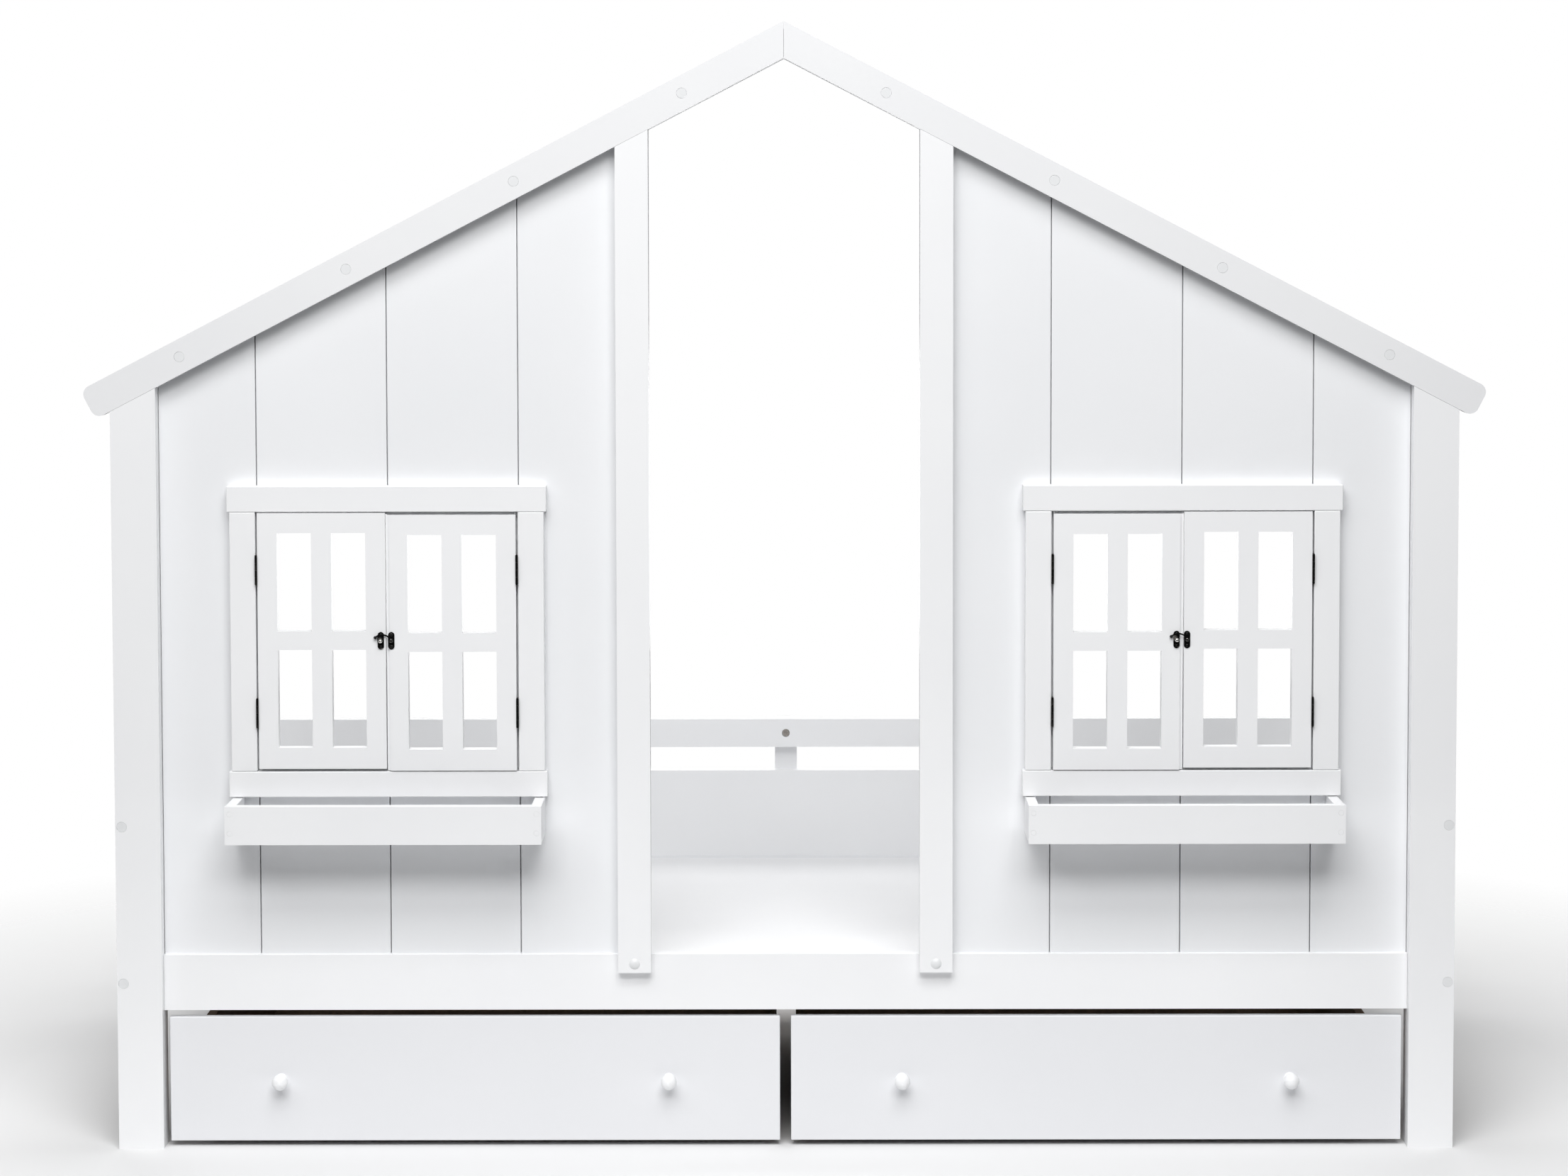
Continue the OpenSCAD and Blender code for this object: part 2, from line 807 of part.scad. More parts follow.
module frame_bolts() {
    color(zinc) placed() {
        for (side = SIDES) handed(side) {
            for (z = END_BOLT_Z) {
                end_bolt(z);
                from_back() end_bolt(z);
            }
            for (z = RAIL_BOLT_Z) side_bolt(rail_bolt_y, z);
            for (z = BOARD_BOLT_Z) side_bolt(board_bolt_y, z);
            side_bolt(board_bolt_y, guard_bolt_z);
            for (x = ROOF_BOLT_X) roof_bolt(x);
            upright_screw();
        }
        difference() {
            strut_bolt();
            translate([0, back_in, strut_bolt_z]) rotate([-90, 0, 0]) cylinder(h = 2, r = 2.9, $fn = 6);
        }
    }
}

module hex_nut(x, z, y0) {
    difference() {
        translate([x, y0, z]) rotate([-90, 0, 0]) cylinder(h = 5, r = 5.8, $fn = 6);
        bar_y(x, z, roof_bolt_r + running_gap, y0 - 1, y0 + 6);
    }
}

module frame_nuts() {
    back_open = back_in + back_board_t;
    color(zinc) placed() {
        for (side = SIDES) handed(side) {
            for (z = END_BOLT_Z) {
                end_nut(z);
                from_back() end_nut(z);
            }
            for (z = RAIL_BOLT_Z) side_nut(rail_bolt_y, z, rail_back);
            for (z = BOARD_BOLT_Z) side_nut(board_bolt_y, z, back_open);
            side_nut(board_bolt_y, guard_bolt_z, back_open);
            for (x = ROOF_BOLT_X) hex_nut(x, roof_mid(x), backing_back + eps);
        }
        hex_nut(0, strut_bolt_z, bed_depth - 5 + eps);
    }
}

// Domed cap over a screw at the foot of a door upright
module domed_cap() {
    rise = 3.2;
    dome_r = (upright_cap_r * upright_cap_r + rise * rise) / (2 * rise);
    translate([upright_cap_x, -0.05, upright_cap_z]) rotate([90, 0, 0]) intersection() {
        translate([0, 0, rise - dome_r]) sphere(r = dome_r);
        cylinder(h = rise, r = upright_cap_r);
    }
}

module cover_caps() {
    color(cap_plastic) placed() for (side = SIDES) handed(side) {
        for (z = END_BOLT_Z) {
            bar_y(end_bolt_x, z, cap_r, cap_sink, cap_sink + cap_t);
            from_back() bar_y(end_bolt_x, z, cap_r, cap_sink, cap_sink + cap_t);
        }
        for (z = RAIL_BOLT_Z)
            bar_x(rail_bolt_y, z, cap_r, post_out - cap_sink - cap_t, post_out - cap_sink);
        for (z = concat(BOARD_BOLT_Z, guard_bolt_z))
            bar_x(board_bolt_y, z, cap_r, post_out - cap_sink - cap_t, post_out - cap_sink);
        for (x = ROOF_BOLT_X) bar_y(x, roof_mid(x), cap_r, cap_sink, cap_sink + roof_cap_t);
        domed_cap();
    }
}

// ---------- drawers ----------

module drawer_front(side) {
    color(white_drawer) placed() handed(side)
        board([front_side_gap, drawer_front_y, drawer_gap],
            [post_in - front_side_gap, drawer_front_y + front_t, drawer_gap + drawer_h]);
}

// Two sides and a back, standing on the floor panel
module drawer_box(side) {
    low = box_floor_low + box_floor_t;
    color(raw_board) placed() handed(side) {
        board([box_in, box_front, low], [box_in + box_t, box_back, box_top]);
        board([box_out - box_t, box_front, low], [box_out, box_back, box_top]);
        board([box_in + box_t + joint_gap, box_back - box_t, low],
            [box_out - box_t - joint_gap, box_back, box_top]);
    }
}

module drawer_floor(side) {
    color(raw_board) placed() handed(side)
        board([box_in, box_front, box_floor_low], [box_out, box_back, box_floor_low + box_floor_t]);
}

// A ball on a short flared neck
module knob() {
    ball = knob_d / 2;
    rotate([90, 0, 0]) {
        translate([0, 0, knob_reach]) sphere(r = ball);
        rotate_extrude() polygon([[0, 0], [10, 0], [10, 1.2], [7.5, 3.4], [6.4, 6.5],
            [6.4, knob_reach], [0, knob_reach]]);
    }
}

module drawer_knobs(side) {
    middle = post_in / 2;
    color(white_lacquer) placed() handed(side) for (s = SIDES)
        translate([middle + s * knob_spread, drawer_front_y, knob_z]) knob();
}

// Where a drawer's wheels are, across its width and from front to back
function wheel_xs() = [box_in + wheel_in_x, box_out - wheel_in_x];
function wheel_y(rear) = rear ? box_back - wheel_in_y : box_front + wheel_in_y;

module caster_bracket() {
    cheek = 8;
    cheek_t = 2;
    plate = 17;
    difference() {
        union() {
            board([-plate, -plate, box_floor_low - cheek_t], [plate, plate, box_floor_low]);
            for (s = SIDES) handed(s)
                board([cheek, -9, 8], [cheek + cheek_t, 9, box_floor_low - cheek_t]);
        }
        bar_x(0, wheel_r, axle_r + running_gap, -plate, plate);
    }
    bar_x(0, wheel_r, axle_r, -cheek - cheek_t - 1, cheek + cheek_t + 1);
    for (s = SIDES) handed(s)
        bar_x(0, wheel_r, axle_r + 1.5, cheek + cheek_t + running_gap, cheek + cheek_t + 1.5);
}

module caster_brackets(side) {
    color(zinc) placed() handed(side) for (x = wheel_xs()) for (rear = [false, true])
        translate([x, wheel_y(rear), 0]) caster_bracket();
}

module wheels(side, rear) {
    tread = 9;
    color(wheel_black) placed() handed(side) for (x = wheel_xs())
        translate([x, wheel_y(rear), wheel_r]) rotate([0, 90, 0]) difference() {
            rotate_extrude() polygon([[0, -wheel_w / 2], [5.5, -wheel_w / 2],
                [6.5, -tread / 2], [wheel_r - 3, -tread / 2], [wheel_r - 2, -wheel_w / 2],
                [wheel_r - 1, -wheel_w / 2], [wheel_r, 1 - wheel_w / 2],
                [wheel_r, wheel_w / 2 - 1], [wheel_r - 1, wheel_w / 2],
                [wheel_r - 2, wheel_w / 2], [wheel_r - 3, tread / 2], [6.5, tread / 2],
                [5.5, wheel_w / 2], [0, wheel_w / 2]]);
            cylinder(h = 2 * wheel_w, r = axle_r + running_gap, center = true);
        }
}

front_post(-1);  // left_front_post
front_post(1);  // right_front_post
back_post(-1);  // left_back_post
back_post(1);  // right_back_post
front_rail();
back_board();
guard_rail();
guard_strut();
end_rails();
rafter(-1);  // left_rafter
rafter(1);  // right_rafter
backing_rafters();
ridge_plate();
door_upright(-1);  // left_door_upright
door_upright(1);  // right_door_upright
wall_planks(-1);  // left_wall_planks
wall_planks(1);  // right_wall_planks
wall_battens();
base_ledgers();
base_bearers();
base_boards();
window_trim(-1);  // left_window_trim
window_trim(1);  // right_window_trim
planter_fronts();
planter_ends();
planter_floors();
planter_plugs();
frame_bolts();
frame_nuts();
cover_caps();
fixed_hinge_leaves();
hinge_pins();
shutter(-window_x, -1);  // left_outer_shutter
shutter(-window_x, 1);  // left_inner_shutter
shutter(window_x, -1);  // right_inner_shutter
shutter(window_x, 1);  // right_outer_shutter
shutter_hinge_leaves(-window_x, -1);  // left_outer_hinge_leaves
shutter_hinge_leaves(-window_x, 1);  // left_inner_hinge_leaves
shutter_hinge_leaves(window_x, -1);  // right_inner_hinge_leaves
shutter_hinge_leaves(window_x, 1);  // right_outer_hinge_leaves
latch_strike(-1);  // left_latch_strike
latch_strike(1);  // right_latch_strike
latch_plate(-1);  // left_latch_plate
latch_plate(1);  // right_latch_plate
latch_hook(-1);  // left_latch_hook
latch_hook(1);  // right_latch_hook
drawer_front(-1);  // left_drawer_front
drawer_front(1);  // right_drawer_front
drawer_box(-1);  // left_drawer_box
drawer_box(1);  // right_drawer_box
drawer_floor(-1);  // left_drawer_floor
drawer_floor(1);  // right_drawer_floor
drawer_knobs(-1);  // left_drawer_knobs
drawer_knobs(1);  // right_drawer_knobs
caster_brackets(-1);  // left_caster_brackets
caster_brackets(1);  // right_caster_brackets
wheels(-1, false);  // left_front_wheels
wheels(-1, true);  // left_rear_wheels
wheels(1, false);  // right_front_wheels
wheels(1, true);  // right_rear_wheels
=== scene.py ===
"""A white wooden child's bed with a house front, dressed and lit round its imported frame.

Every board, hinge and latch is shown as a copy with welded corners and eased edges, so that its
finish catches light along them. Bolts, knobs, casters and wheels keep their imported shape.
Metres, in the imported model's own frame: +X to the viewer's right, -Y towards the viewer, +Z up.
"""

import json
import math

import bpy
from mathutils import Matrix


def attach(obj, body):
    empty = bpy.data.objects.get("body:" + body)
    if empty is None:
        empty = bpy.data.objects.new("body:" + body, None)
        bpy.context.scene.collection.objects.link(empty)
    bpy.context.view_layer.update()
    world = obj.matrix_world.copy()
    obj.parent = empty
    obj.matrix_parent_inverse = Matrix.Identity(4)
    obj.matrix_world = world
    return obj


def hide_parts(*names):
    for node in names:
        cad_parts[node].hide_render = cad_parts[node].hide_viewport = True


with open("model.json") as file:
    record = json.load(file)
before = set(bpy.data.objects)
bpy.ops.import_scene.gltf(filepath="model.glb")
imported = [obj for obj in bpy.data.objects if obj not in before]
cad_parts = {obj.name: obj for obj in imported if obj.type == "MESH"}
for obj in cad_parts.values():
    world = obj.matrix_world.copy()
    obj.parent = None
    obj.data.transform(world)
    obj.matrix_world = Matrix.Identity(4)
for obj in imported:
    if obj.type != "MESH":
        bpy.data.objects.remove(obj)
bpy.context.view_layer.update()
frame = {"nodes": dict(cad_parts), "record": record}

MM = 0.001
SIDES = ("left", "right")
FRONT_Y = -0.460    # the front posts' face


# ---------- helpers at the bench ----------

def clear_selection():
    """Nothing selected and nothing active, so that the next operator acts on one piece only."""
    bpy.ops.object.select_all(action="DESELECT")
    bpy.context.view_layer.objects.active = None


def take(piece):
    """Selects one piece and makes it the active one."""
    clear_selection()
    piece.select_set(True)
    bpy.context.view_layer.objects.active = piece


def weld(piece, gap=0.004 * MM, flat_degrees=0.5):
    """Joins a mesh's loose triangles and clears the lines that cross its flat faces."""
    take(piece)
    bpy.ops.object.mode_set(mode="EDIT")
    bpy.ops.mesh.select_all(action="SELECT")
    bpy.ops.mesh.remove_doubles(threshold=gap)
    bpy.ops.mesh.dissolve_limited(angle_limit=math.radians(flat_degrees))
    bpy.ops.object.mode_set(mode="OBJECT")


def finish_modifier(piece, kind, **settings):
    """Adds a modifier, sets it and applies it."""
    take(piece)
    modifier = piece.modifiers.new(kind.title(), kind)
    for key, value in settings.items():
        setattr(modifier, key, value)
    bpy.ops.object.modifier_apply(modifier=modifier.name)


EASE_OVER = math.radians(38)      # edges sharper than this are rounded
SMOOTH_UNDER = math.radians(40)   # edges blunter than this are shaded smooth


def ease(piece, width, segments=3):
    """Rounds a piece's sharp edges, as sanding and lacquer leave them."""
    finish_modifier(piece, "BEVEL", width=width, segments=segments, limit_method="ANGLE",
                    angle_limit=EASE_OVER, use_clamp_overlap=True, profile=0.6)
    take(piece)
    bpy.ops.object.shade_smooth_by_angle(angle=SMOOTH_UNDER)
    finish_modifier(piece, "WEIGHTED_NORMAL", weight=80, keep_sharp=True)


def paint(piece, material):
    """Gives a piece one finish all over."""
    piece.data.materials.clear()
    piece.data.materials.append(material)


def copy_of(node, suffix):
    """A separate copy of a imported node's mesh, to be finished and shown in its place."""
    source = frame["nodes"][node]
    piece = bpy.data.objects.new(f"{node}_{suffix}", source.data.copy())
    bpy.context.scene.collection.objects.link(piece)
    return piece


def stand_in(piece, node):
    """Puts a finished piece in its node's place, on the same body, and hides the node."""
    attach(piece, BODY_OF[node])
    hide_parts(node)


BODY_OF = {node: body for body, nodes in frame["record"]["behaviour"]["bodies"].items()
           for node in nodes}


# ---------- shared surface effects ----------

class Effect:
    """A shader tree under construction: a node group with named sockets, or one material."""

    def __init__(self, tree):
        self.tree = tree

    def node(self, kind, *links, **settings):
        """Adds a node. Links and numbers fill its sockets in order; a setting goes to the input
        of that name, or else to the node itself."""
        made = self.tree.nodes.new(kind)
        for key, value in settings.items():
            name = key.replace("_", " ")
            socket = next((s for s in made.inputs if s.name.lower() == name.lower()), None)
            if socket is None or hasattr(made, key):
                setattr(made, key, value)
            elif isinstance(value, bpy.types.NodeSocket):
                self.tree.links.new(value, socket)
            else:
                socket.default_value = value
        for index, source in enumerate(links):
            if isinstance(source, (int, float)):
                made.inputs[index].default_value = source
            else:
                self.tree.links.new(source, made.inputs[index])
        return made

    def noise(self, vector, scale, detail=2.0, roughness=0.5):
        return self.node("ShaderNodeTexNoise", Vector=vector, Scale=scale, Detail=detail,
                         Roughness=roughness).outputs["Fac"]

    def stretch(self, vector, scale, turn):
        """Coordinates that are turned and drawn out, so that a noise on them runs like grain."""
        mapping = self.node("ShaderNodeMapping", Vector=vector)
        mapping.inputs["Scale"].default_value = scale
        mapping.inputs["Rotation"].default_value = turn
        return mapping.outputs["Vector"]

    def between(self, value, low, high, out_low=0.0, out_high=1.0):
        """Maps a value from one range to another, held at both ends."""
        ranged = self.node("ShaderNodeMapRange", value, low, high, out_low, out_high)
        return ranged.outputs["Result"]

    def math(self, operation, a, b=0.0):
        return self.node("ShaderNodeMath", a, b, operation=operation).outputs["Value"]

    def link(self, source, socket):
        self.tree.links.new(source, socket)


def effect_group(name, inputs, outputs):
    """An empty node group with named number and vector inputs and named outputs."""
    group = bpy.data.node_groups.new(name, "ShaderNodeTree")
    for label, kind, value in inputs:
        socket = group.interface.new_socket(name=label, in_out="INPUT", socket_type=kind)
        if value is not None:
            socket.default_value = value
    for label, kind in outputs:
        group.interface.new_socket(name=label, in_out="OUTPUT", socket_type=kind)
    build = Effect(group)
    source = group.nodes.new("NodeGroupInput")
    sink = group.nodes.new("NodeGroupOutput")
    return group, build, source.outputs, sink.inputs


def sprayed_lacquer_group():
    """Lacquer sprayed on a board: slow drift of tone, faint raised grain, fine orange peel."""
    group, build, given, out = effect_group(
        "Sprayed lacquer",
        [("Vector", "NodeSocketVector", None), ("Along", "NodeSocketVector", None),
         ("Grain", "NodeSocketFloat", 0.3), ("Peel", "NodeSocketFloat", 0.3)],
        [("Tone", "NodeSocketFloat"), ("Gloss", "NodeSocketFloat"), ("Height", "NodeSocketFloat")])
    drift = build.noise(given["Vector"], 3.2, 3.0)
    strokes = build.noise(given["Along"], 90.0, 4.0, 0.6)
    pores = build.between(build.noise(given["Along"], 420.0, 1.0), 0.30, 0.44)
    peel = build.noise(given["Vector"], 620.0, 1.0)
    wide_peel = build.noise(given["Vector"], 150.0, 2.0)
    grain = build.math("MULTIPLY", build.math("ADD", strokes, build.math("MULTIPLY", pores, 0.5)),
                       given["Grain"])
    skin = build.math("MULTIPLY", build.math("ADD", peel, wide_peel), given["Peel"])
    build.link(build.between(drift, 0.3, 0.7), out["Tone"])
    build.link(build.between(wide_peel, 0.25, 0.75), out["Gloss"])
    build.link(build.math("ADD", grain, skin), out["Height"])
    return group


def worn_edge_group():
    """Where handling has rubbed a dark finish through: raised edges, broken up by scratches."""
    group, build, given, out = effect_group(
        "Worn edge",
        [("Vector", "NodeSocketVector", None), ("Start", "NodeSocketFloat", 0.52),
         ("Full", "NodeSocketFloat", 0.60), ("Scatter", "NodeSocketFloat", 0.25)],
        [("Mask", "NodeSocketFloat"), ("Grit", "NodeSocketFloat")])
    raised = build.node("ShaderNodeNewGeometry").outputs["Pointiness"]
    grit = build.noise(given["Vector"], 900.0, 4.0, 0.65)
    scatter = build.math("MULTIPLY", build.math("SUBTRACT", grit, 0.5), given["Scatter"])
    wear = build.math("ADD", raised, scatter)
    build.link(build.between(wear, given["Start"], given["Full"]), out["Mask"])
    build.link(grit, out["Grit"])
    return group


def pressed_board_group():
    """Pressed wood board: short fibres and darker specks with no direction."""
    group, build, given, out = effect_group(
        "Pressed board",
        [("Vector", "NodeSocketVector", None)],
        [("Fibre", "NodeSocketFloat"), ("Speck", "NodeSocketFloat")])
    warp = build.noise(given["Vector"], 35.0, 2.0)
    bend = build.node("ShaderNodeCombineXYZ", warp, warp, warp).outputs["Vector"]
    small = build.node("ShaderNodeVectorMath", bend, operation="SCALE", Scale=0.02)
    shifted = build.node("ShaderNodeVectorMath", given["Vector"], small.outputs["Vector"],
                         operation="ADD")
    fibre = build.noise(shifted.outputs["Vector"], 260.0, 5.0, 0.7)
    speck = build.between(build.noise(given["Vector"], 480.0, 2.0), 0.62, 0.72)
    build.link(fibre, out["Fibre"])
    build.link(speck, out["Speck"])
    return group


LACQUER = sprayed_lacquer_group()
WEAR = worn_edge_group()
BOARD = pressed_board_group()


# ---------- materials ----------

def new_material(name, base, roughness, metallic=0.0, **constants):
    """A Principled material; constants are set on the shader's own sockets."""
    material = bpy.data.materials.new(name)
    material.use_nodes = True
    build = Effect(material.node_tree)
    shader = material.node_tree.nodes["Principled BSDF"]
    shader.inputs["Base Color"].default_value = (*base, 1.0)
    shader.inputs["Roughness"].default_value = roughness
    shader.inputs["Metallic"].default_value = metallic
    for key, value in constants.items():
        shader.inputs[key.replace("_", " ")].default_value = value
    place = build.node("ShaderNodeTexCoord").outputs["Object"]
    return material, build, shader, place


def use_effect(build, group, **values):
    """Places an effect group in a material with its own values."""
    made = build.node("ShaderNodeGroup", node_tree=group)
    for key, value in values.items():
        socket = made.inputs[key]
        if isinstance(value, bpy.types.NodeSocket):
            build.link(value, socket)
        else:
            socket.default_value = value
    return made.outputs


MIX_FACTOR, MIX_FIRST, MIX_SECOND, MIX_COLOUR = 0, 6, 7, 2    # a colour mix's socket numbers


def two_tone(build, mask, first, second):
    """A colour that runs from the first to the second as the mask rises."""
    mix = build.node("ShaderNodeMix", data_type="RGBA")
    mix.inputs[MIX_FIRST].default_value = (*first, 1.0)
    mix.inputs[MIX_SECOND].default_value = (*second, 1.0)
    build.link(mask, mix.inputs[MIX_FACTOR])
    return mix.outputs[MIX_COLOUR]


def bump(build, height, shader, strength, distance):
    """Fine relief on a finish; the distance is its depth in metres."""
    node = build.node("ShaderNodeBump", Strength=strength, Distance=distance, Height=height)
    build.link(node.outputs["Normal"], shader.inputs["Normal"])


GRAIN_ALONG = {"x": (0.05, 1.0, 1.0), "y": (1.0, 0.05, 1.0), "z": (1.0, 1.0, 0.05)}


def lacquer(name, light, shade, roughness, along="x", turn=0.0, grain=0.25, peel=0.2):
    """White lacquer on wood whose grain runs along one axis, or turned about Y for a rafter."""
    material, build, shader, place = new_material(name, light, roughness)
    run = build.stretch(place, GRAIN_ALONG[along], (0.0, turn, 0.0))
    skin = use_effect(build, LACQUER, Vector=place, Along=run, Grain=grain, Peel=peel)
    build.link(two_tone(build, skin["Tone"], light, shade), shader.inputs["Base Color"])
    build.link(build.between(skin["Gloss"], 0.0, 1.0, roughness - 0.05, roughness + 0.07),
               shader.inputs["Roughness"])
    bump(build, skin["Height"], shader, 0.12, 0.05 * MM)
    return material


def antique_black(name, start, full):
    """Glossy blackened metal, rubbed through to a dull grey on its proudest edges."""
    dark, rubbed = (0.004, 0.004, 0.004), (0.30, 0.28, 0.26)
    material, build, shader, place = new_material(name, dark, 0.3, 0.5)
    wear = use_effect(build, WEAR, Vector=place, Start=start, Full=full, Scatter=0.05)
    build.link(two_tone(build, wear["Mask"], dark, rubbed), shader.inputs["Base Color"])
    build.link(build.between(wear["Grit"], 0.3, 0.7, 0.22, 0.38), shader.inputs["Roughness"])
    bump(build, wear["Grit"], shader, 0.15, 0.03 * MM)
    return material


def polished_steel(name):
    """Bare steel polished by handling, with faint smears."""
    light, dark = (0.82, 0.81, 0.79), (0.66, 0.64, 0.61)
    material, build, shader, place = new_material(name, light, 0.14, 1.0)
    smear = build.between(build.noise(place, 700.0, 2.0), 0.35, 0.7)
    build.link(two_tone(build, smear, light, dark), shader.inputs["Base Color"])
    build.link(build.between(smear, 0.0, 1.0, 0.10, 0.22), shader.inputs["Roughness"])
    return material


def zinc_plate(name):
    """Dull zinc plating with slow mottling."""
    light, dark = (0.58, 0.54, 0.50), (0.40, 0.36, 0.33)
    material, build, shader, place = new_material(name, light, 0.35, 1.0)
    mottle = build.between(build.noise(place, 240.0, 3.0), 0.35, 0.65)
    build.link(two_tone(build, mottle, light, dark), shader.inputs["Base Color"])
    build.link(build.between(mottle, 0.0, 1.0, 0.28, 0.46), shader.inputs["Roughness"])
    return material


def moulded_plastic(name, light, shade, roughness):
    """Moulded plastic with a fine even texture."""
    material, build, shader, place = new_material(name, light, roughness)
    drift = build.between(build.noise(place, 60.0, 2.0), 0.3, 0.7)
    fine = build.noise(place, 1400.0, 1.0)
    build.link(two_tone(build, drift, light, shade), shader.inputs["Base Color"])
    build.link(build.between(drift, 0.0, 1.0, roughness - 0.04, roughness + 0.05),
               shader.inputs["Roughness"])
    bump(build, fine, shader, 0.1, 0.03 * MM)
    return material


def bare_board(name):
    """Uncoated brown pressed board, inside the drawers."""
    light, dark = (0.36, 0.25, 0.16), (0.20, 0.13, 0.08)
    material, build, shader, place = new_material(name, light, 0.78)
    board = use_effect(build, BOARD, Vector=place)
    build.link(two_tone(build, build.between(board["Fibre"], 0.3, 0.7), light, dark),
               shader.inputs["Base Color"])
    build.link(build.between(board["Speck"], 0.0, 1.0, 0.72, 0.86), shader.inputs["Roughness"])
    bump(build, board["Fibre"], shader, 0.2, 0.1 * MM)
    return material


WHITE, WHITE_SHADE = (0.90, 0.905, 0.915), (0.875, 0.88, 0.893)
# The rafters' tone is the white lacquer painted darker. This is painted shade that keeps their
# tops, nearest the overhead lights, from washing out.
ROOF_WITH_PAINTED_SHADE, ROOF_WITH_PAINTED_SHADE_DARKER = (0.835, 0.84, 0.85), (0.815, 0.82, 0.833)
PANEL, PANEL_SHADE = (0.845, 0.853, 0.868), (0.825, 0.835, 0.852)
DRAWER, DRAWER_SHADE = (0.80, 0.806, 0.826), (0.785, 0.792, 0.813)
SLOPE = math.radians(27.5)    # the rafters' pitch

white_along_x = lacquer("white_lacquer_across", WHITE, WHITE_SHADE, 0.36, "x")
white_along_y = lacquer("white_lacquer_deep", WHITE, WHITE_SHADE, 0.36, "y")
white_upright = lacquer("white_lacquer_upright", WHITE, WHITE_SHADE, 0.36, "z")
# Rafters: the same white lacquer in the darker roof tone, which is painted shade.
white_left_slope_painted_shade = lacquer("white_lacquer_left_slope_painted_shade", ROOF_WITH_PAINTED_SHADE, ROOF_WITH_PAINTED_SHADE_DARKER, 0.36, "x", SLOPE)
white_right_slope_painted_shade = lacquer("white_lacquer_right_slope_painted_shade", ROOF_WITH_PAINTED_SHADE, ROOF_WITH_PAINTED_SHADE_DARKER, 0.36, "x", -SLOPE)
panel_upright = lacquer("panel_lacquer_upright", PANEL, PANEL_SHADE, 0.5, "z", 0.0, 0.15, 0.35)
panel_across = lacquer("panel_lacquer_across", PANEL, PANEL_SHADE, 0.5, "x", 0.0, 0.15, 0.35)
panel_deep = lacquer("panel_lacquer_deep", PANEL, PANEL_SHADE, 0.5, "y", 0.0, 0.15, 0.35)
drawer_face = lacquer("drawer_lacquer", DRAWER, DRAWER_SHADE, 0.42, "x", 0.0, 0.1, 0.35)
black_iron = antique_black("antique_black_latch", 0.57, 0.70)
black_hinge = antique_black("antique_black_hinge", 0.54, 0.66)
bright_steel = polished_steel("polished_steel")
zinc = zinc_plate("zinc_plate")
cap_white = moulded_plastic("white_cap_plastic", (0.80, 0.81, 0.82), (0.77, 0.78, 0.79), 0.32)
wheel_black = moulded_plastic("black_wheel_plastic", (0.02, 0.02, 0.022), (0.03, 0.03, 0.032), 0.45)
raw_board = bare_board("bare_board")


# ---------- boards with eased edges ----------

# single nodes: (edge radius in millimetres, finish)
EASED = {
    "front_rail": (2.0, white_along_x),
    "back_board": (1.6, white_along_x),
    "guard_rail": (2.0, white_along_x),
    "guard_strut": (1.6, white_upright),
    "end_rails": (2.0, white_along_y),
    "left_rafter": (2.0, white_left_slope_painted_shade),
    "right_rafter": (2.0, white_right_slope_painted_shade),
    "backing_rafters": (1.2, panel_across),
    "ridge_plate": (0.8, panel_across),
    "wall_battens": (1.2, panel_across),
    "base_ledgers": (1.2, panel_across),
    "base_bearers": (1.0, panel_deep),
    "base_boards": (0.8, white_along_y),
    "planter_fronts": (1.6, white_along_x),
    "planter_ends": (1.6, white_along_y),
    "planter_floors": (0.8, white_along_x),
    "planter_plugs": (0.3, white_along_x),
    "cover_caps": (0.5, cap_white),
    "fixed_hinge_leaves": (0.2, black_hinge),
    "hinge_pins": (0.2, black_hinge),
}

# nodes that come once on each side, in the same way
EASED_ON_EACH_SIDE = {
    "front_post": (2.2, white_upright),
    "back_post": (2.2, white_upright),
    "door_upright": (1.8, white_upright),
    "wall_planks": (0.7, panel_upright),
    "window_trim": (1.4, white_along_x),
    "outer_shutter": (1.0, white_upright),
    "inner_shutter": (1.0, white_upright),
    "outer_hinge_leaves": (0.2, black_hinge),
    "inner_hinge_leaves": (0.2, black_hinge),
    "drawer_front": (1.6, drawer_face),
    "drawer_box": (0.6, raw_board),
    "drawer_floor": (0.4, raw_board),
}

for side in SIDES:
    EASED |= {f"{side}_{part}": look for part, look in EASED_ON_EACH_SIDE.items()}

for node, (radius, finish) in EASED.items():
    piece = copy_of(node, "eased")
    weld(piece)
    ease(piece, radius * MM)
    paint(piece, finish)
    stand_in(piece, node)


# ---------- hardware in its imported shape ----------

for node in ("frame_bolts", "frame_nuts"):
    paint(frame["nodes"][node], zinc)

for side in SIDES:
    paint(frame["nodes"][f"{side}_drawer_knobs"], white_along_x)
    paint(frame["nodes"][f"{side}_caster_brackets"], zinc)
    paint(frame["nodes"][f"{side}_front_wheels"], wheel_black)
    paint(frame["nodes"][f"{side}_rear_wheels"], wheel_black)


# ---------- latches ----------

# part: (edge radius, and how far in front of the posts its rubbed head begins), in millimetres
LATCH = {"strike": (0.35, 3.7), "plate": (0.35, 3.3), "hook": (0.45, None)}

for side in SIDES:
    for part, (radius, head) in LATCH.items():
        node = f"{side}_latch_{part}"
        piece = copy_of(node, "eased")
        weld(piece)
        ease(piece, radius * MM, 2)
        paint(piece, black_iron)
        if head is not None:
            piece.data.materials.append(bright_steel)
            for face in piece.data.polygons:
                face.material_index = int(face.center.y < FRONT_Y - head * MM)
        stand_in(piece, node)


# ---------- studio ----------

FLOOR_SIZE = 6.0
FADE_FROM, FADE_TO = 1.3, 2.3    # distances from the middle of the bed


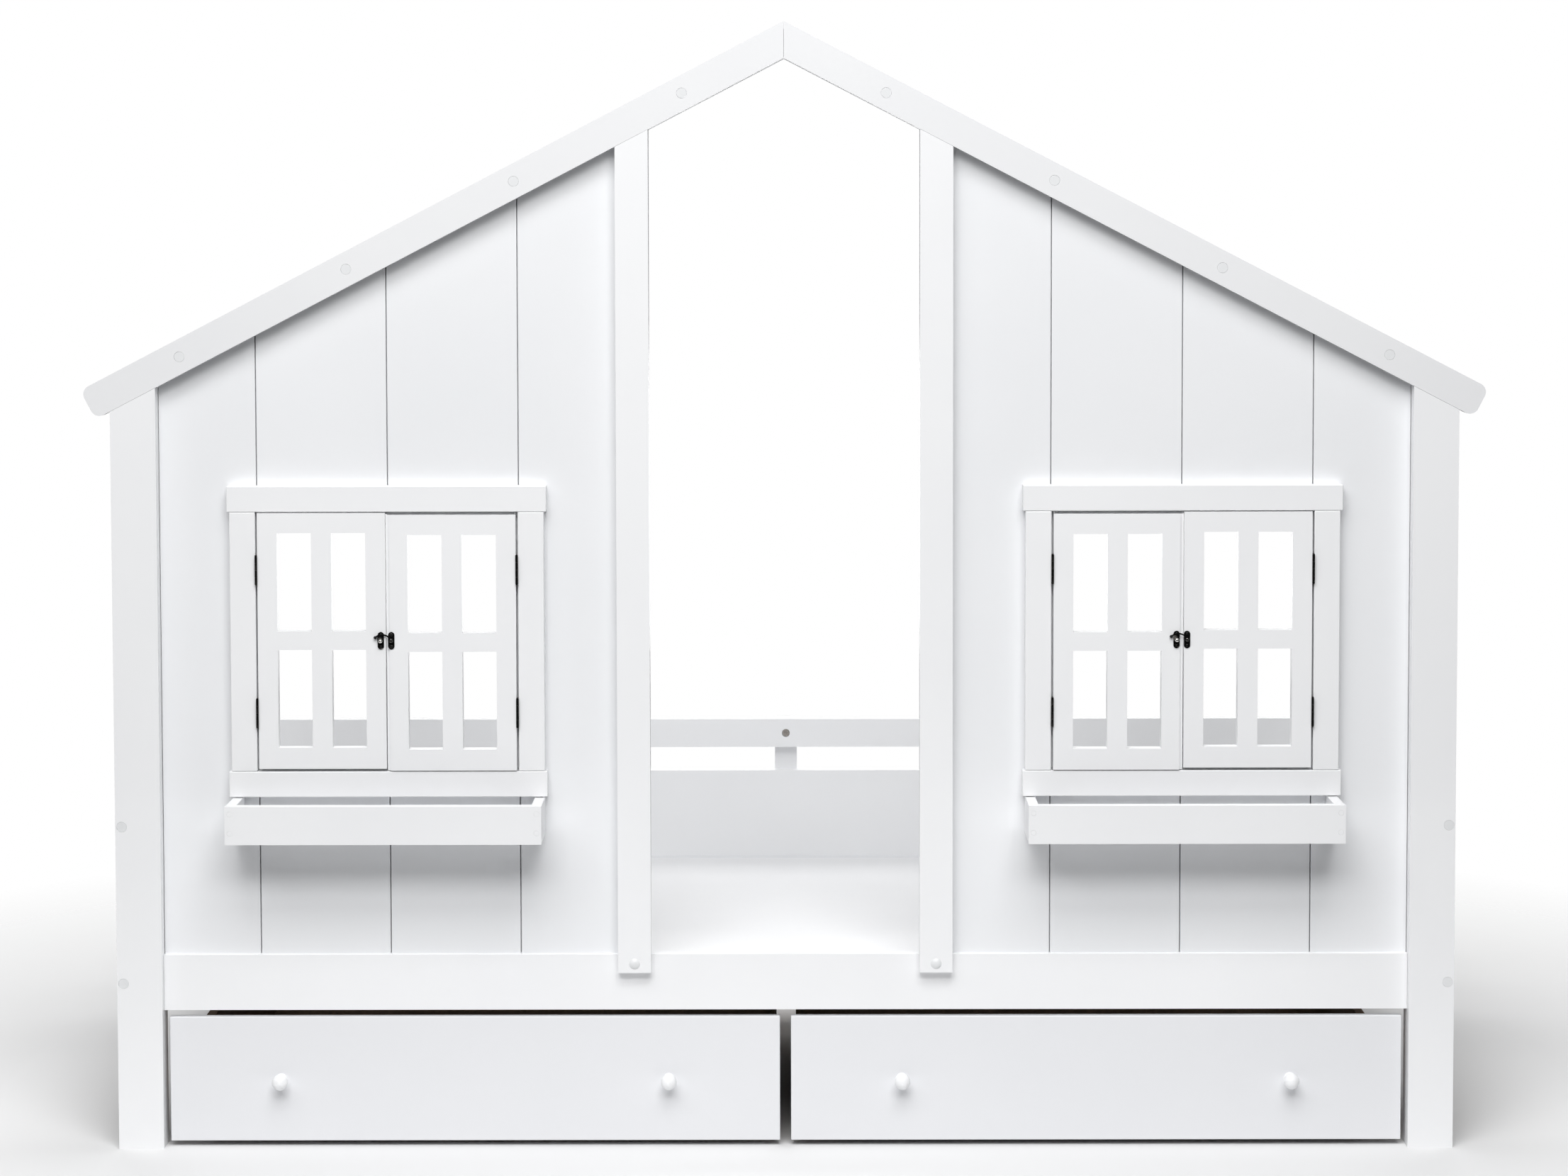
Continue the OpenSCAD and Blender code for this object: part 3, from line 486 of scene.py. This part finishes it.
def pale_floor():
    """A pale paper floor that fades into the white studio a little way off from the bed."""
    clear_selection()
    bpy.ops.mesh.primitive_plane_add(size=FLOOR_SIZE, location=(0, 0, 0))
    floor = bpy.context.active_object
    floor.name = "studio_floor"
    light, dark = (0.82, 0.822, 0.825), (0.81, 0.812, 0.815)
    finish, build, shader, place = new_material("studio_paper", light, 0.9)
    tone = build.between(build.noise(place, 0.6, 2.0), 0.3, 0.7)
    build.link(two_tone(build, tone, light, dark), shader.inputs["Base Color"])
    away = build.node("ShaderNodeVectorMath", place, operation="LENGTH").outputs["Value"]
    build.link(build.between(away, FADE_FROM, FADE_TO, 1.0, 0.0), shader.inputs["Alpha"])
    paint(floor, finish)


def soft_light(name, place, target, size, power):
    """A large rectangular light that faces a point."""
    clear_selection()
    bpy.ops.object.light_add(type="AREA", location=place)
    light = bpy.context.active_object
    light.name = name
    light.data.shape = "RECTANGLE"
    light.data.size, light.data.size_y = size
    light.data.energy = power
    aim = [t - p for t, p in zip(target, place)]
    level = math.hypot(aim[0], aim[1])
    light.rotation_euler = (math.atan2(level, -aim[2]), 0.0, math.atan2(-aim[0], aim[1]))


AIR_LIGHT = 0.03    # how bright the white surroundings are for everything but the camera


def studio_air():
    """White surroundings for the camera, and only a breath of light on everything else."""
    world = bpy.data.worlds.new("studio_air")
    world.use_nodes = True
    build = Effect(world.node_tree)
    air = world.node_tree.nodes["Background"]
    air.inputs["Color"].default_value = (1.0, 1.0, 1.0, 1.0)
    seen = build.node("ShaderNodeLightPath").outputs["Is Camera Ray"]
    build.link(build.between(seen, 0.0, 1.0, AIR_LIGHT, 1.0), air.inputs["Strength"])
    bpy.context.scene.world = world


# name: (place, the point it faces, width and height, watts)
LIGHTS = {
    "overhead_bank": ((0.0, -3.5, 5.4), (0.0, -0.3, 0.7), (4.0, 1.8), 178.0),
    "high_bank": ((0.0, -5.8, 4.6), (0.0, -0.4, 0.8), (5.0, 1.6), 152.0),
    "ridge_bank": ((0.0, -3.9, 3.4), (0.0, -0.45, 1.6), (4.0, 1.0), 36.0),
    "left_bank": ((-3.4, -3.8, 4.8), (0.0, -0.4, 0.8), (2.4, 2.0), 56.0),
    "back_bank": ((0.0, 2.4, 4.6), (0.0, 0.6, 0.4), (5.0, 2.0), 105.0),
    "inner_bank": ((0.0, -0.2, 3.4), (0.0, 0.49, 0.3), (2.4, 0.5), 12.0),
    "low_bank": ((0.0, 3.2, 0.7), (0.0, 0.0, 0.1), (3.0, 0.8), 30.0),
}

pale_floor()
for name, settings in LIGHTS.items():
    soft_light(name, *settings)
studio_air()
bpy.context.scene.view_settings.view_transform = "Standard"


# ---------- camera ----------

# how far the lens stands in front of the posts, right of the middle and above the floor
LENS_AHEAD, LENS_RIGHT, LENS_UP = 5.3656, 0.0094, 1.4847
# degrees: down from level, leaning over to one side, and turned left
LENS_DOWN, LENS_LEAN, LENS_TURN = 3.359, 0.101, 0.1

camera_data = bpy.data.cameras.new("front_camera")
camera_data.sensor_width = 36.0
camera_data.lens = 80.1
camera_data.shift_y = -0.12
camera = bpy.data.objects.new("front_camera", camera_data)
bpy.context.scene.collection.objects.link(camera)
camera.location = (LENS_RIGHT, FRONT_Y - LENS_AHEAD, LENS_UP)
camera.rotation_euler = [math.radians(angle) for angle in (90 - LENS_DOWN, LENS_LEAN, LENS_TURN)]
bpy.context.scene.camera = camera
